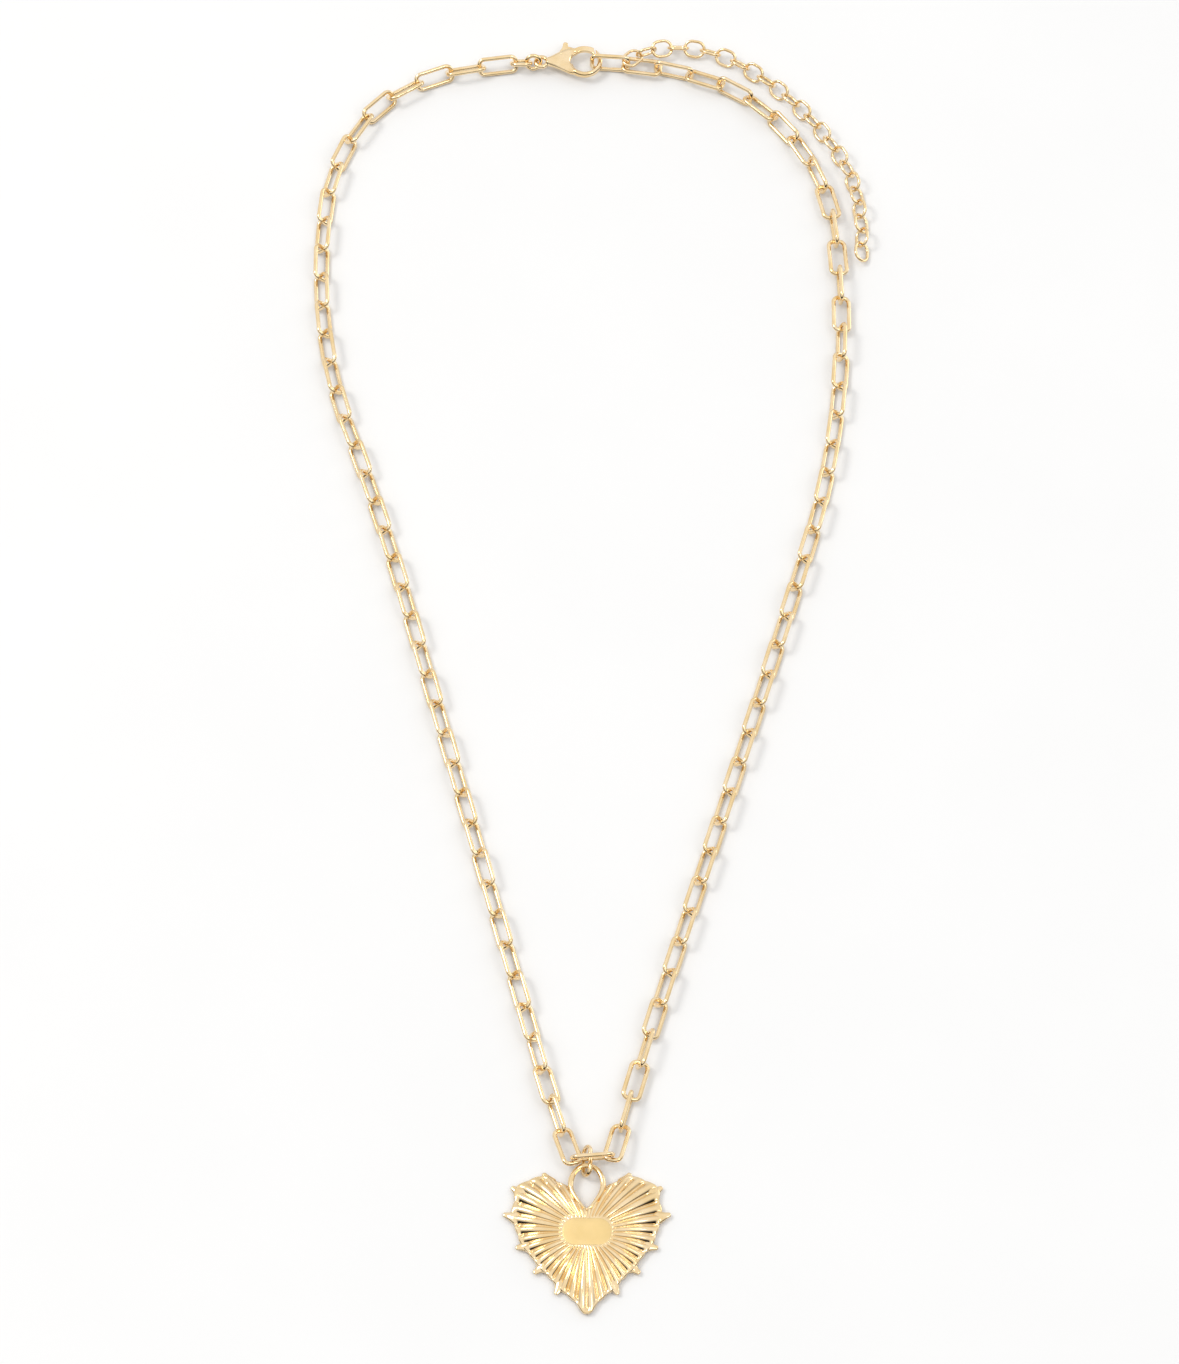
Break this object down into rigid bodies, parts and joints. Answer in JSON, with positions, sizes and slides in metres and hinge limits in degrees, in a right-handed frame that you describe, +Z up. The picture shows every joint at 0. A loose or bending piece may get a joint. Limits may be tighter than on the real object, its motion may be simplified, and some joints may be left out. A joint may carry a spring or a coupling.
{
  "type": "heart pendant necklace",
  "caption": "Fine paperclip-link neck chain with a fluted heart pendant on a jump ring, closed by a sprung lobster clasp, with a small-link extender tail.",
  "frame": {"origin": "middle of the necklace's box on the surface it lies on", "axes": "+Y from the heart towards the clasp, +X towards the extender side, +Z up from the surface"},
  "size_m": [0.0799, 0.1998, 0.0035],
  "materials": {
    "polished_gold": "polished",
    "spring_steel": "plain"
  },
  "bodies": {
    "center": {"center_link": "polished_gold"},
    "pendant_ring": {"pendant_ring": "polished_gold"},
    "heart": {"pendant_heart": "polished_gold"},
    "left_01": {"left_links_01": "polished_gold", "left_links_02": "polished_gold"},
    "left_02": {"left_links_03": "polished_gold", "left_links_04": "polished_gold"},
    "left_03": {"left_links_05": "polished_gold", "left_links_06": "polished_gold"},
    "left_04": {"left_links_07": "polished_gold", "left_links_08": "polished_gold"},
    "left_05": {"left_links_09": "polished_gold", "left_links_10": "polished_gold"},
    "left_06": {"left_links_11": "polished_gold", "left_links_12": "polished_gold"},
    "left_07": {"left_links_13": "polished_gold", "left_links_14": "polished_gold"},
    "clasp_link": {"clasp_link": "polished_gold"},
    "clasp_ring": {"clasp_ring": "polished_gold"},
    "clasp": {"clasp_body": "polished_gold", "clasp_pin": "polished_gold", "clasp_spring": "spring_steel"},
    "lever": {"clasp_lever": "polished_gold"},
    "right_01": {"right_links_01": "polished_gold", "right_links_02": "polished_gold"},
    "right_02": {"right_links_03": "polished_gold", "right_links_04": "polished_gold"},
    "right_03": {"right_links_05": "polished_gold", "right_links_06": "polished_gold"},
    "right_04": {"right_links_07": "polished_gold", "right_links_08": "polished_gold"},
    "right_05": {"right_links_09": "polished_gold", "right_links_10": "polished_gold"},
    "right_06": {"right_links_11": "polished_gold", "right_links_12": "polished_gold"},
    "right_07": {"right_links_13": "polished_gold", "right_links_14": "polished_gold"},
    "end_ring": {"end_ring": "polished_gold"},
    "extender_01": {"extender_links_01": "polished_gold"},
    "extender_02": {"extender_links_02": "polished_gold"},
    "extender_03": {"extender_links_03": "polished_gold"},
    "extender_04": {"extender_links_04": "polished_gold"},
    "extender_05": {"extender_links_05": "polished_gold"},
    "extender_06": {"extender_links_06": "polished_gold"},
    "extender_07": {"extender_links_07": "polished_gold"},
    "extender_08": {"extender_links_08": "polished_gold"}
  },
  "joints": [
    {"name": "left_bend_01", "type": "hinge", "parent": "center", "child": "left_01", "pos_m": [-0.0025, -0.07834, 0.0012], "axis": [0, 0, 1], "range_deg": [-3.46, 3.46]},
    {"name": "left_bend_02", "type": "hinge", "parent": "left_01", "child": "left_02", "pos_m": [-0.01029, -0.05115, 0.0012], "axis": [0, 0, 1], "range_deg": [-1.95, 1.95]},
    {"name": "left_bend_03", "type": "hinge", "parent": "left_02", "child": "left_03", "pos_m": [-0.0177, -0.0235, 0.0012], "axis": [0, 0, 1], "range_deg": [-2.88, 2.88]},
    {"name": "left_bend_04", "type": "hinge", "parent": "left_03", "child": "left_04", "pos_m": [-0.0251, 0.00415, 0.0012], "axis": [0, 0, 1], "range_deg": [-4.46, 4.46]},
    {"name": "left_bend_05", "type": "hinge", "parent": "left_04", "child": "left_05", "pos_m": [-0.03331, 0.03156, 0.0012], "axis": [0, 0, 1], "range_deg": [-1.08, 1.08]},
    {"name": "left_bend_06", "type": "hinge", "parent": "left_05", "child": "left_06", "pos_m": [-0.03871, 0.05953, 0.0012], "axis": [0, 0, 1], "range_deg": [-2.29, 2.29]},
    {"name": "left_bend_07", "type": "hinge", "parent": "left_06", "child": "left_07", "pos_m": [-0.03248, 0.08692, 0.0012], "axis": [0, 0, 1], "range_deg": [-1.57, 1.57]},
    {"name": "clasp_link_turn", "type": "hinge", "parent": "left_07", "child": "clasp_link", "pos_m": [-0.01125, 0.09617, 0.0012], "axis": [0, 0, 1], "range_deg": [-1.36, 1.36]},
    {"name": "clasp_ring_turn", "type": "hinge", "parent": "clasp_link", "child": "clasp_ring", "pos_m": [-0.00913, 0.09625, 0.0012], "axis": [0, 0, 1], "range_deg": [-1.39, 1.39]},
    {"name": "clasp_turn", "type": "hinge", "parent": "clasp_ring", "child": "clasp", "pos_m": [-0.00771, 0.0963, 0.0012], "axis": [0, 0, 1], "range_deg": [-1.4, 1.4]},
    {"name": "right_bend_01", "type": "hinge", "parent": "center", "child": "right_01", "pos_m": [0.00291, -0.07786, 0.0012], "axis": [0, 0, 1], "range_deg": [-3.5, 3.5]},
    {"name": "right_bend_02", "type": "hinge", "parent": "right_01", "child": "right_02", "pos_m": [0.01063, -0.05065, 0.0012], "axis": [0, 0, 1], "range_deg": [-1.81, 1.81]},
    {"name": "right_bend_03", "type": "hinge", "parent": "right_02", "child": "right_03", "pos_m": [0.019, -0.02328, 0.0012], "axis": [0, 0, 1], "range_deg": [-2.81, 2.81]},
    {"name": "right_bend_04", "type": "hinge", "parent": "right_03", "child": "right_04", "pos_m": [0.02721, 0.00413, 0.0012], "axis": [0, 0, 1], "range_deg": [-4.01, 4.01]},
    {"name": "right_bend_05", "type": "hinge", "parent": "right_04", "child": "right_05", "pos_m": [0.03416, 0.03187, 0.0012], "axis": [0, 0, 1], "range_deg": [-1.9, 1.9]},
    {"name": "right_bend_06", "type": "hinge", "parent": "right_05", "child": "right_06", "pos_m": [0.03566, 0.0604, 0.0012], "axis": [0, 0, 1], "range_deg": [-2.29, 2.29]},
    {"name": "right_bend_07", "type": "hinge", "parent": "right_06", "child": "right_07", "pos_m": [0.0265, 0.0868, 0.0012], "axis": [0, 0, 1], "range_deg": [-3.89, 3.89]},
    {"name": "end_ring_turn", "type": "hinge", "parent": "right_07", "child": "end_ring", "pos_m": [0.00511, 0.09599, 0.0012], "axis": [0, 0, 1], "range_deg": [-1.43, 1.43]},
    {"name": "extender_bend_01", "type": "hinge", "parent": "end_ring", "child": "extender_01", "pos_m": [0.00519, 0.09589, 0.0012], "axis": [0, 0, 1], "range_deg": [-1.43, 1.43]},
    {"name": "extender_bend_02", "type": "hinge", "parent": "extender_01", "child": "extender_02", "pos_m": [0.01159, 0.09876, 0.0012], "axis": [0, 0, 1], "range_deg": [-3.89, 3.89]},
    {"name": "extender_bend_03", "type": "hinge", "parent": "extender_02", "child": "extender_03", "pos_m": [0.01867, 0.0978, 0.0012], "axis": [0, 0, 1], "range_deg": [0, 15]},
    {"name": "extender_bend_04", "type": "hinge", "parent": "extender_03", "child": "extender_04", "pos_m": [0.02474, 0.09398, 0.0012], "axis": [0, 0, 1], "range_deg": [-2.29, 2.29]},
    {"name": "extender_bend_05", "type": "hinge", "parent": "extender_04", "child": "extender_05", "pos_m": [0.02998, 0.08905, 0.0012], "axis": [0, 0, 1], "range_deg": [0, 15]},
    {"name": "extender_bend_06", "type": "hinge", "parent": "extender_05", "child": "extender_06", "pos_m": [0.03432, 0.08332, 0.0012], "axis": [0, 0, 1], "range_deg": [0, 15]},
    {"name": "extender_bend_07", "type": "hinge", "parent": "extender_06", "child": "extender_07", "pos_m": [0.03758, 0.07691, 0.0012], "axis": [0, 0, 1], "range_deg": [0, 15]},
    {"name": "extender_bend_08", "type": "hinge", "parent": "extender_07", "child": "extender_08", "pos_m": [0.03893, 0.06986, 0.0012], "axis": [0, 0, 1], "range_deg": [0, 15]},
    {"name": "ring_lift", "type": "hinge", "parent": "center", "child": "pendant_ring", "pos_m": [0.00018, -0.07786, 0.00097], "axis": [-0.9962, -0.0872, 0], "range_deg": [0, 5]},
    {"name": "heart_lift", "type": "hinge", "parent": "pendant_ring", "child": "heart", "pos_m": [-0.00055, -0.0789, 0.0011], "axis": [-1, 0, 0], "range_deg": [0, 20]},
    {"name": "clasp_lever_turn", "type": "hinge", "parent": "clasp", "child": "lever", "pos_m": [-0.00432, 0.09746, 0.00141], "axis": [0, 0, -1], "range_deg": [0, 8], "stiffness_Nm_per_rad": 0.01}
  ],
  "couplings": [
    {"joint": "left_bend_02", "follows": "left_bend_01", "ratio": 0.55812},
    {"joint": "left_bend_03", "follows": "left_bend_01", "ratio": -0.82575},
    {"joint": "left_bend_04", "follows": "left_bend_01", "ratio": -1.2826},
    {"joint": "left_bend_05", "follows": "left_bend_01", "ratio": -0.30773},
    {"joint": "left_bend_06", "follows": "left_bend_01", "ratio": -0.6566},
    {"joint": "left_bend_07", "follows": "left_bend_01", "ratio": 0.44703},
    {"joint": "clasp_link_turn", "follows": "left_bend_01", "ratio": 0.38782},
    {"joint": "clasp_ring_turn", "follows": "left_bend_01", "ratio": 0.39519},
    {"joint": "clasp_turn", "follows": "left_bend_01", "ratio": 0.40003},
    {"joint": "right_bend_01", "follows": "left_bend_01", "ratio": -1.0045},
    {"joint": "right_bend_02", "follows": "left_bend_01", "ratio": -0.51605},
    {"joint": "right_bend_03", "follows": "left_bend_01", "ratio": 0.80732},
    {"joint": "right_bend_04", "follows": "left_bend_01", "ratio": 1.1537},
    {"joint": "right_bend_05", "follows": "left_bend_01", "ratio": 0.54422},
    {"joint": "right_bend_06", "follows": "left_bend_01", "ratio": 0.65749},
    {"joint": "right_bend_07", "follows": "left_bend_01", "ratio": -1.1182},
    {"joint": "end_ring_turn", "follows": "left_bend_01", "ratio": -0.40851},
    {"joint": "extender_bend_01", "follows": "left_bend_01", "ratio": 0.40851},
    {"joint": "extender_bend_02", "follows": "left_bend_01", "ratio": 1.1182},
    {"joint": "extender_bend_04", "follows": "left_bend_01", "ratio": -0.65749}
  ]
}
